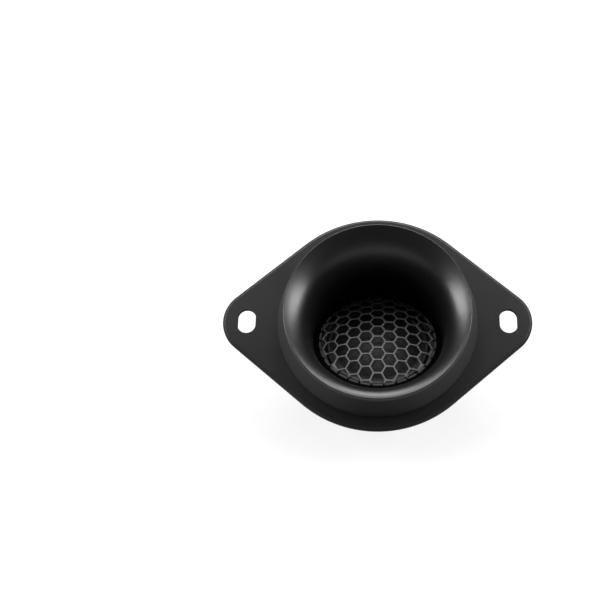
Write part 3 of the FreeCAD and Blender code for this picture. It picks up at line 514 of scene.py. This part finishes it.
def tube(bm, path, radius):
    """A round bar of one thickness along points, closed at both ends, all in mm."""
    sides = 8
    across = Vector((1, 0, 0))
    rings = []
    for number, point in enumerate(path):
        along = heading(path, number)
        across = (across - along * across.dot(along)).normalized()
        up = along.cross(across)
        arms = [across * math.cos(math.tau * side / sides) + up * math.sin(math.tau * side / sides)
                for side in range(sides)]
        rings.append([bm.verts.new((point + arm * radius) * MM) for arm in arms])
    join_rings(bm, rings)


wires_low, wires_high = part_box("lead_out_wires")
bundle_radius = 0.18
wire_x = wires_high[0] / MM - bundle_radius
wire_start = wires_low[1] / MM
wire_end = wires_high[1] / MM - bundle_radius
wire_level = wires_high[2] / MM - bundle_radius
wire_foot = wires_low[2] / MM
wire_bend = 0.8
bend_y = wire_end - wire_bend
bend_level = wire_level - wire_bend
flat_run = [(wire_start + (bend_y - wire_start) * step / 20, wire_level) for step in range(20)]
bend_run = [(bend_y + wire_bend * math.sin(math.pi * step / 20),
             bend_level + wire_bend * math.cos(math.pi * step / 20)) for step in range(10)]
drop_run = [(wire_end, bend_level + (wire_foot - bend_level) * step / 26) for step in range(27)]
route = [Vector(point) for point in flat_run + bend_run + drop_run]
strands = 3
strand_radius = 0.083
strand_offset = bundle_radius - strand_radius
twist = 0.55
bm = bmesh.new()
for side in (-1, 1):
    for strand in range(strands):
        path = []
        for number, point in enumerate(route):
            along = heading(route, number)
            angle = number * twist + math.tau * strand / strands
            out = strand_offset * math.sin(angle)
            path.append(Vector((side * wire_x + strand_offset * math.cos(angle),
                                point.x - along.y * out, point.y + along.x * out)))
        tube(bm, path, strand_radius)
make_piece("twisted_lead_outs", bm, copper, "enamelled_copper", "lead_out_wires")

# Solder: bright, smooth and slightly wavy, as it set.
solder, tree, shader, place = new_finish("bright_solder")
skin = node(tree, "TexNoise", {"Vector": place, "Scale": cell_scale(0.667), "Detail": 2.0})
dull = node(tree, "MapRange", {"Value": skin.outputs["Fac"], "To Min": 0.14, "To Max": 0.3})
wavy = node(tree, "Bump", {"Height": skin.outputs["Fac"], "Strength": 0.5, "Distance": 0.00003})
node(tree, shader, {"Base Color": colour("#d2d3d6"), "Roughness": dull.outputs["Result"],
                    "Normal": wavy.outputs["Normal"], "Metallic": 1.0})

solder_low, solder_top, solder_reach = levels("solder_joints")
solder_x = solder_reach - 0.9
solder_radius = 0.87
bm = bmesh.new()
for side in (-1, 1):
    lathe(bm, [(0, solder_low + 0.03, 0), (0.16, solder_low + 0.05, 0), (0.3, solder_low + 0.14, 0),
               (0.46, solder_low + 0.28, 0), (0.66, solder_low + 0.39, 0),
               (solder_radius, solder_top - 0.04, 0), (solder_radius, solder_top, 0),
               (0, solder_top, 0)], 40, (side * solder_x, wire_end))
make_piece("solder_fillets", bm, solder, "bright_solder", "solder_joints")

# ------------------------------------------------------------------ front gasket
# Ring of black foam squeezed between the frame and the grille ring; it seals the
# driver to the horn.

# Closed-cell foam: dead black with open pores where it was cut, their hollows painted
# darker than their rims as painted shade.
foam, tree, shader, place = new_finish("black_foam")
cells = node(tree, "TexVoronoi", {"Vector": place, "Scale": cell_scale(0.286)})
pores = node(tree, "MapRange", {"Value": cells.outputs["Distance"], "From Max": 0.6, "To Min": 0.0,
                                "To Max": 1.0})
tint = node(tree, "Mix", {0: pores.outputs["Result"], 6: colour("#0c0c0d"), 7: colour("#1c1c1e")},
            data_type="RGBA")
open_cells = node(tree, "Bump", {"Height": pores.outputs["Result"], "Strength": 0.8,
                                 "Distance": 0.00008})
node(tree, shader, {"Base Color": tint.outputs[2], "Normal": open_cells.outputs["Normal"],
                    "Roughness": 0.9, "IOR": 1.45})

gasket_low, gasket_top, gasket_radius = levels("front_gasket")
# The cut pores stand out from a body drawn this much smaller.
pore_height = 0.03
gasket_low += pore_height
gasket_top -= pore_height
gasket_width = 2.6
gasket_inner = gasket_radius - gasket_width + pore_height
gasket_radius -= pore_height
rows = 5
row_width = gasket_width / rows
bm = bmesh.new()
lathe(bm, [(gasket_radius - row_width * row, gasket_top, 0) for row in range(rows)]
      + [(gasket_inner, gasket_top, 0.12), (gasket_inner, gasket_low, 0.12),
         (gasket_radius, gasket_low, 0.1)], 240)
roughen(bm, 0.025, 0.6)
make_piece("foam_gasket", bm, foam, "black_foam", "front_gasket")

# -------------------------------------------------------------------- grille ring
# Flat ring moulded in black ABS and glued to the end of the horn.  It carries the
# mesh's hem on a shoulder and closes the throat round it.

# Matt ABS with a dry coarse grain, painted near black with almost no shine: painted shade
# for the deep gap round the mesh, which holds no highlight.
ring_painted_shade, tree, shader, place = new_finish("black_abs_ring")
grain = node(tree, "TexNoise", {"Vector": place, "Scale": cell_scale(0.238), "Detail": 3.0})
tint = node(tree, "Mix", {0: grain.outputs["Fac"], 6: colour("#030303"), 7: colour("#060606")},
            data_type="RGBA")
dry = node(tree, "Bump", {"Height": grain.outputs["Fac"], "Strength": 0.6, "Distance": 0.00003})
node(tree, shader, {"Base Color": tint.outputs[2], "Normal": dry.outputs["Normal"],
                    "Roughness": 0.9, "IOR": 1.5, "Specular IOR Level": 0.02})
dress("grille_ring", ring_painted_shade, 0.1)

# -------------------------------------------------------------------- grille mesh
# Steel sheet punched with hexagon cells, pressed to a shallow dome and cut to a circle.
# The strands keep flat crowns with soft edges, and the rim is turned under in short
# tabs, which sit on the ring's shoulder.

# Powder coat: charcoal, dull, with a thin orange-peel skin.  Towards the rim the coat is
# painted near black: painted shade where the strands' ends lie in the throat's shadow.
coat, tree, shader, place = new_finish("black_steel_mesh")
peel = node(tree, "TexNoise", {"Vector": place, "Scale": cell_scale(0.625), "Detail": 3.0})
worn = node(tree, "TexNoise", {"Vector": place, "Scale": cell_scale(4.17), "Detail": 4.0})
tint = node(tree, "Mix", {0: worn.outputs["Fac"], 6: colour("#6a6a6e"), 7: colour("#7c7c80")},
            data_type="RGBA")
dull = node(tree, "MapRange", {"Value": peel.outputs["Fac"], "To Min": 0.5, "To Max": 0.65})
skin = node(tree, "Bump", {"Height": peel.outputs["Fac"], "Strength": 0.5, "Distance": 0.00001})
flat_place = node(tree, "VectorMath", {0: place, 1: (1, 1, 0)}, operation="MULTIPLY")
outward = node(tree, "VectorMath", {0: flat_place.outputs["Vector"]}, operation="LENGTH")
# Painted shade: the coat goes near black from 15.8 mm out to the rim.
rim_shade_mask = node(tree, "MapRange", {"Value": outward.outputs["Value"], "From Min": 0.0158,
                                "From Max": 0.0165})
coat_and_rim_shade = node(tree, "Mix", {0: rim_shade_mask.outputs["Result"], 6: tint.outputs[2], 7: colour("#0b0b0c")},
              data_type="RGBA")
node(tree, shader, {"Base Color": coat_and_rim_shade.outputs[2], "Roughness": dull.outputs["Result"],
                    "Normal": skin.outputs["Normal"], "IOR": 1.5, "Specular IOR Level": 0.2})

mesh_low, _, mesh_radius = levels("grille_mesh")
sheet = 0.5
# The sheet is part of a ball as far as flat_edge, and level beyond it up to its rim.
flat_edge = mesh_radius - 0.7
rim = mesh_radius - 0.55
ball = 39.0
ball_centre = mesh_low + sheet - math.sqrt(ball ** 2 - flat_edge ** 2)
# Cells repeat at this pitch; the blank sat a little off centre in the press.
pitch = 3.92
cell_side = pitch / math.sqrt(3)
blank_offset = 0.35
half_strand = 0.21


def sheet_point(x, y, height):
    """A point of the pressed sheet, height up from its middle, in metres."""
    out = min(math.hypot(x, y), flat_edge)
    middle = ball_centre + math.sqrt((ball - sheet / 2) ** 2 - out ** 2)
    return Vector((x, y, middle + height)) * MM


def cell_outline(heart):
    """The corners and sides of one cell as seen from above, and which points the rim cut."""
    side_steps = 6
    corners = [heart + cell_side * np.array((math.cos(angle), math.sin(angle)))
               for angle in (math.pi * step / 3 for step in range(6))]
    points, cut = [], []
    for start, end in zip(corners, corners[1:] + corners[:1]):
        run = [start + (end - start) * step / side_steps for step in range(side_steps + 1)]
        for here, there in zip(run, run[1:]):
            inside = math.hypot(*here) < rim
            if inside:
                points.append(here)
                cut.append(False)
            if inside != (math.hypot(*there) < rim):
                low, high = 0.0, 1.0
                for _ in range(40):
                    share = (low + high) / 2
                    crossing = here + (there - here) * share
                    if (math.hypot(*crossing) < rim) == inside:
                        low = share
                    else:
                        high = share
                points.append(crossing)
                cut.append(True)
    return np.array(points), cut


def room(points, heart):
    """How far each point is inside its cell, with the corners filled as the coat fills them."""
    fullness = 5
    gaps = [pitch / 2 - (points - heart) @ (math.cos(angle), math.sin(angle))
            for angle in (math.pi / 6 + math.pi * step / 3 for step in range(6))]
    gaps = np.maximum(np.array(gaps), 1e-6)
    return np.sum(gaps ** -fullness, axis=0) ** (-1 / fullness)


def drawn_in(edge, cut, share):
    """Each point moved a share of its way in: to the outline's middle, or along the rim."""
    moved = edge + (edge.mean(axis=0) - edge) * share[:, None]
    for number, at_rim in enumerate(cut):
        if at_rim:
            after = (number + 1) % len(cut)
            partner = edge[after if cut[after] else number - 1]
            start = math.atan2(edge[number][1], edge[number][0])
            turn = (math.atan2(partner[1], partner[0]) - start + math.pi) % math.tau - math.pi
            angle = start + turn * share[number] / 2
            moved[number] = rim * math.cos(angle), rim * math.sin(angle)
    return moved


# Half of a strand's section, from the middle of its top round to the middle of its
# bottom: (share of half the width, share of half the thickness).
strand_section = [(0.0, 1.0), (0.5, 1.0), (0.78, 0.92), (0.94, 0.7), (1.0, 0.4), (1.0, -0.4),
                  (0.94, -0.7), (0.78, -0.92), (0.5, -1.0), (0.0, -1.0)]
midline = {}
bm = bmesh.new()


def shared(x, y, height):
    """One mesh point for each place, shared by the cells that meet there."""
    key = (round(x * 1000), round(y * 1000), round(height * 1000))
    if key not in midline:
        midline[key] = bm.verts.new(sheet_point(x, y, height))
    return midline[key]


reach = int(mesh_radius / pitch) + 2
for column in range(-reach, reach + 1):
    for row in range(-reach, reach + 1):
        heart = np.array((cell_side * 1.5 * column, pitch * (row + column % 2 / 2) + blank_offset))
        if math.hypot(*heart) > rim + pitch * 0.6:
            continue
        edge, cut = cell_outline(heart)
        if len(edge) < 3:
            continue
        # A cut side stays open only where the arc beside it has room for a hole, and a
        # cell too small for any hole stays whole sheet.
        widest = room(drawn_in(edge, cut, np.ones(len(edge))), heart)
        cut = [at_rim and space > half_strand * 1.05 for at_rim, space in zip(cut, widest)]
        if room(edge.mean(axis=0)[None, :], heart)[0] < half_strand * 1.3:
            bm.faces.new([shared(x, y, sheet / 2) for x, y in edge])
            bm.faces.new([shared(x, y, -sheet / 2) for x, y in edge[::-1]])
            continue
        loops = []
        for out, rise in strand_section:
            height = rise * sheet / 2
            if out == 0.0:
                loops.append([shared(x, y, height) for x, y in edge])
                continue
            low, high = np.zeros(len(edge)), np.ones(len(edge))
            for _ in range(24):
                share = (low + high) / 2
                short = room(drawn_in(edge, cut, share), heart) < half_strand * out
                low = np.where(short, share, low)
                high = np.where(short, high, share)
            loops.append([bm.verts.new(sheet_point(x, y, height))
                          for x, y in drawn_in(edge, cut, high)])
        for ring, following in zip(loops, loops[1:]):
            for number in range(len(ring)):
                beside = (number + 1) % len(ring)
                if not (cut[number] and cut[beside]):
                    bm.faces.new((ring[number], ring[beside], following[beside], following[number]))
# The strands that the rim cut are still open at their ends.
bmesh.ops.holes_fill(bm, edges=[edge for edge in bm.edges if edge.is_boundary], sides=0)
make_piece("hexagon_grille", bm, coat, "black_steel_mesh", "grille_mesh", crease=60)

# The turned-under tabs: one to a column of cells at the front, evenly spaced round, and
# dull and rough; their grey is painted darker than the strands', as painted shade under them.
tabs_shaded_grey, tree, shader, place = new_finish("tab_coat_painted_shade")
smear = node(tree, "TexNoise", {"Vector": place, "Scale": cell_scale(1.11), "Detail": 3.0})
# Painted shade: a darker grey than the strands' coat.
tint = node(tree, "Mix", {0: smear.outputs["Fac"], 6: colour("#39393b"), 7: colour("#4a4a4c")},
            data_type="RGBA")
uneven = node(tree, "Bump", {"Height": smear.outputs["Fac"], "Strength": 0.5, "Distance": 0.00002})
node(tree, shader, {"Base Color": tint.outputs[2], "Normal": uneven.outputs["Normal"],
                    "Roughness": 0.85, "IOR": 1.5, "Specular IOR Level": 0.12})

tabs = 30
tab_gap = 0.5
tab_radius = mesh_radius - 0.31
tab_level = mesh_low + 0.25
tab_half_width = 0.37
tab_half_height = 0.25
tab_round = 0.2
half_reach = math.pi / tabs - tab_gap / 2 / (tab_radius + tab_half_width)


def rounded(part, power):
    """A sine or cosine bent towards a square's side; the lower the power, the squarer."""
    return math.copysign(abs(part) ** power, part)


bm = bmesh.new()
for tab in range(tabs):
    rings = []
    for step in range(13):
        along = math.sin(math.pi * (step / 12 - 0.5))
        drawn = tab_round * abs(along) ** 6
        angle = -math.pi / 2 + math.tau * tab / tabs + half_reach * along
        ring = []
        for turn in (math.tau * side / 12 for side in range(12)):
            out = tab_radius + rounded(math.cos(turn), 0.5) * (tab_half_width - drawn)
            level = tab_level + rounded(math.sin(turn), 0.7) * (tab_half_height - drawn)
            x, y = out * math.cos(angle), out * math.sin(angle)
            ring.append(bm.verts.new((x * MM, y * MM, level * MM)))
        rings.append(ring)
    join_rings(bm, rings)
make_piece("mesh_tabs", bm, tabs_shaded_grey, "black_steel_mesh", crease=60)

# ------------------------------------------------------------------- horn housing
# One moulding: the flange with its two slotted ears, the raised mouth, the horn that
# runs down to the tilted throat, and the collar behind.

# Satin ABS: black with a soft sheen; the mould's polish varies a little, and the skin
# is broken by a grain far finer than the eye resolves.  The mouth's outer wall, the
# flange's edge and its back come from unpolished mould faces and are matt: they lie
# beyond the lip's radius and off the level of the flange's face.
satin, tree, shader, place = new_finish("satin_black_abs")
polish = node(tree, "TexNoise", {"Vector": place, "Scale": cell_scale(11.1), "Detail": 4.0})
grain = node(tree, "TexNoise", {"Vector": place, "Scale": cell_scale(0.278), "Detail": 2.0})
tint = node(tree, "Mix", {0: polish.outputs["Fac"], 6: colour("#0c0c0d"), 7: colour("#0f0f10")},
            data_type="RGBA")
sheen = node(tree, "MapRange", {"Value": polish.outputs["Fac"], "To Min": 0.30, "To Max": 0.37})
fine = node(tree, "Bump", {"Height": grain.outputs["Fac"], "Strength": 0.25, "Distance": 0.000004})
flange_centre = (0, -0.00345, 0.025)
flange_lean = math.radians(22)
on_flange = node(tree, "Mapping", {"Vector": place, "Location": flange_centre,
                                   "Rotation": (flange_lean, 0, 0)}, vector_type="TEXTURE")
flat_place = node(tree, "VectorMath", {0: on_flange.outputs["Vector"], 1: (1, 1, 0)},
                  operation="MULTIPLY")
outward = node(tree, "VectorMath", {0: flat_place.outputs["Vector"]}, operation="LENGTH")
beyond = node(tree, "MapRange", {"Value": outward.outputs["Value"], "From Min": 0.0255,
                                 "From Max": 0.0259})
parts = node(tree, "SeparateXYZ", {"Vector": on_flange.outputs["Vector"]})
above = node(tree, "MapRange", {"Value": parts.outputs["Z"], "From Min": 0.0001,
                                "From Max": 0.0006})
below = node(tree, "MapRange", {"Value": parts.outputs["Z"], "From Min": -0.00003,
                                "From Max": -0.00012})
off_level = node(tree, "Math", {0: above.outputs["Result"], 1: below.outputs["Result"]},
                 operation="MAXIMUM")
unpolished = node(tree, "Math", {0: beyond.outputs["Result"], 1: off_level.outputs[0]},
                  operation="MULTIPLY")
dull = node(tree, "Mix", {0: unpolished.outputs[0], 2: sheen.outputs["Result"], 3: 1.0})
node(tree, shader, {"Base Color": tint.outputs[2], "Roughness": dull.outputs[0],
                    "Normal": fine.outputs["Normal"], "IOR": 1.5})
finish_node("horn_housing", satin)

# -------------------------------------------------------------------- frame screws
# Three black self-tapping screws hold the frame's lugs to the housing's bosses: pan
# heads with a cross recess, and a coarse thread that cuts its own way into the plastic.

# Black zinc: dark metal with a faint oily sheen, brighter where the thread's crest and
# the recess were rubbed.
black_zinc, tree, shader, place = new_finish("black_zinc_screw_steel")
oily = node(tree, "TexNoise", {"Vector": place, "Scale": cell_scale(0.833), "Detail": 4.0})
tint = node(tree, "Mix", {0: oily.outputs["Fac"], 6: colour("#2c2c2e"), 7: colour("#47474a")},
            data_type="RGBA")
dull = node(tree, "MapRange", {"Value": oily.outputs["Fac"], "To Min": 0.3, "To Max": 0.5})
node(tree, shader, {"Base Color": tint.outputs[2], "Roughness": dull.outputs["Result"],
                    "Metallic": 1.0})

screw_low, screw_top, _ = levels("frame_screws")
head_radius = 1.87
seat = screw_low + 1.28
core_radius = 0.72
crest_radius = 0.98
thread_pitch = 0.9
screw_circle = 23.3
screw_places = [(screw_circle * math.cos(angle), screw_circle * math.sin(angle))
                for angle in map(math.radians, (-90, 30, 150))]


def cross_recess(bm, centre, level, depth):
    """A tapered cross, wide at the head's face, as the driver bit leaves it."""
    rings = []
    for arm, waist, height in ((1.1, 0.27, level - 0.3), (1.1, 0.27, level),
                               (0.62, 0.16, level + depth)):
        ring = []
        for turn in range(4):
            for corner in ((waist, -arm), (waist, -waist), (arm, -waist)):
                x, y = Matrix.Rotation(math.pi / 2 * turn, 2) @ Vector(corner) + Vector(centre)
                ring.append(bm.verts.new((x * MM, y * MM, height * MM)))
        rings.append(ring)
    join_rings(bm, rings)


def screw_thread(bm, centre, low, high):
    """The thread's ridge wound round the core and faded out at both ends."""
    steps = 28
    root = core_radius - 0.06
    shallow = core_radius - 0.04
    count = int((high - low) / thread_pitch * steps)
    rings = []
    for number in range(count + 1):
        angle = math.tau * number / steps
        level = low + (high - low) * number / count
        fade = max(min(1, number / steps, (count - number) / steps), 0.05)
        crest = shallow + (crest_radius - shallow) * fade
        rings.append([bm.verts.new(((centre[0] + out * math.cos(angle)) * MM,
                                    (centre[1] + out * math.sin(angle)) * MM, (level + rise) * MM))
                      for out, rise in ((root, -0.2), (crest, -0.03), (crest, 0.03), (root, 0.2))])
    join_rings(bm, rings)


heads = bmesh.new()
recesses = bmesh.new()
for centre in screw_places:
    lathe(heads, [(0, screw_low, 0), (head_radius - 0.72, screw_low, 0.5),
                  (head_radius, seat - 0.73, 0.35), (head_radius, seat, 0.08),
                  (core_radius, seat, 0), (core_radius, screw_top - 1.0, 0.2),
                  (0.12, screw_top - 0.02, 0.05), (0, screw_top, 0)], 64, centre)
    cross_recess(recesses, centre, screw_low, 0.75)
screws = make_piece("pan_head_screws", heads, black_zinc, "black_zinc_screw_steel", "frame_screws",
                    crease=35)

# The recesses are cut from the heads, and the result is kept as the screws' own mesh.
cutter_mesh = bpy.data.meshes.new("driver_bit")
bmesh.ops.recalc_face_normals(recesses, faces=recesses.faces)
recesses.to_mesh(cutter_mesh)
recesses.free()
cutter = bpy.data.objects.new("driver_bit", cutter_mesh)
bpy.context.scene.collection.objects.link(cutter)
sunk = screws.modifiers.new("sunk_recess", "BOOLEAN")
sunk.operation = "DIFFERENCE"
sunk.solver = "EXACT"
sunk.object = cutter
bpy.context.view_layer.update()
ready = bpy.data.meshes.new_from_object(screws.evaluated_get(bpy.context.evaluated_depsgraph_get()))
screws.modifiers.remove(sunk)
screws.data = ready
bpy.data.objects.remove(cutter)

threads = bmesh.new()
for centre in screw_places:
    screw_thread(threads, centre, seat + 0.52, screw_top - 0.75)
make_piece("screw_threads", threads, black_zinc, "black_zinc_screw_steel", crease=35)

# --------------------------------------------------------------------------- floor
# Plain pale paper laid flat under the tweeter, far wider than the view.  It is white to
# the eye and keeps the tweeter's soft shadow.

floor_level = cad_box[0][2]
floor_reach = 6.0
floor_mesh = bpy.data.meshes.new("pale_floor")
floor_mesh.from_pydata([(floor_reach * x, floor_reach * y, floor_level)
                        for x, y in ((-1, -1), (1, -1), (1, 1), (-1, 1))], [], [(0, 1, 2, 3)])
floor = bpy.data.objects.new("pale_floor", floor_mesh)
bpy.context.scene.collection.objects.link(floor)

# Pale paper: matt and even, lifted to white only where it is looked at directly, in a
# reflection or through something clear, so that it throws no more light on the tweeter.
white_lift = 0.76
paper, tree, shader, _ = new_finish("pale_paper")
rays = node(tree, "LightPath")
seen = node(tree, "Math", {0: rays.outputs["Is Camera Ray"], 1: rays.outputs["Is Glossy Ray"]},
            operation="MAXIMUM")
shown = node(tree, "Math", {0: seen.outputs[0], 1: rays.outputs["Is Transmission Ray"]},
             operation="MAXIMUM")
lift = node(tree, "Math", {0: shown.outputs[0], 1: white_lift}, operation="MULTIPLY")
node(tree, shader, {"Base Color": colour("#868686"), "Roughness": 0.9, "Specular IOR Level": 0.2,
                    "Emission Color": (1, 1, 1, 1), "Emission Strength": lift.outputs[0]})
floor_mesh.materials.append(paper)

# -------------------------------------------------------------------------- lights
# A wide soft box behind, and on each side a tall one, a smaller one high behind and a
# narrow one overhead.  Their reflections draw the horn's walls, the flange and the ears.

world = bpy.data.worlds.new("dim_room")
bpy.context.scene.world = world
world.use_nodes = True
room_light = world.node_tree.nodes["Background"]
node(world.node_tree, room_light, {"Color": (1, 1, 1, 1), "Strength": 0.12})

focus = Vector(flange_centre)


def soft_box(name, direction, distance, width, height, brightness, up=(0, 0, 1)):
    """A rectangular lamp of one brightness to the eye, turned to face the tweeter."""
    lamp = bpy.data.lights.new(name, "AREA")
    lamp.shape = "RECTANGLE"
    lamp.size = width
    lamp.size_y = height
    lamp.energy = brightness * math.pi * width * height
    stand = bpy.data.objects.new(name, lamp)
    bpy.context.scene.collection.objects.link(stand)
    back = Vector(direction).normalized()
    right = Vector(up).cross(back).normalized()
    stand.matrix_world = Matrix((right, back.cross(right), back)).transposed().to_4x4()
    stand.location = focus + back * distance


soft_box("back_box", (0, 0.68, 0.73), 1.0, 0.50, 0.42, 10.0)
for side, name in ((1, "right"), (-1, "left")):
    soft_box(f"{name}_box", (0.90 * side, 0.10, 0.40), 1.0, 0.36, 0.76, 14.0)
    soft_box(f"back_{name}_box", (0.26 * side, 0.42, 0.87), 1.0, 0.24, 0.24, 10.0)
    soft_box(f"overhead_{name}_box", (0.38 * side, 0.16, 0.91), 1.2, 0.36, 0.14, 8.0, (0, 1, 0))

# -------------------------------------------------------------------------- camera
# From in front and 47 degrees above, 30 cm away, aimed at the flange's middle.  The
# lens is shifted, so that the tweeter stands right of the middle and a little low.

camera_distance = 0.30398
camera = bpy.data.cameras.new("camera")
camera.sensor_width = 36
camera.lens = 65.49
camera.shift_x = -0.1294
camera.shift_y = 0.0346
tripod = bpy.data.objects.new("camera", camera)
bpy.context.scene.collection.objects.link(tripod)
tripod.location = focus + Vector((0, -0.6870, 0.7267)).normalized() * camera_distance
tripod.rotation_euler = (math.radians(43.39), 0, 0)
bpy.context.scene.camera = tripod
bpy.context.scene.view_settings.view_transform = "Standard"
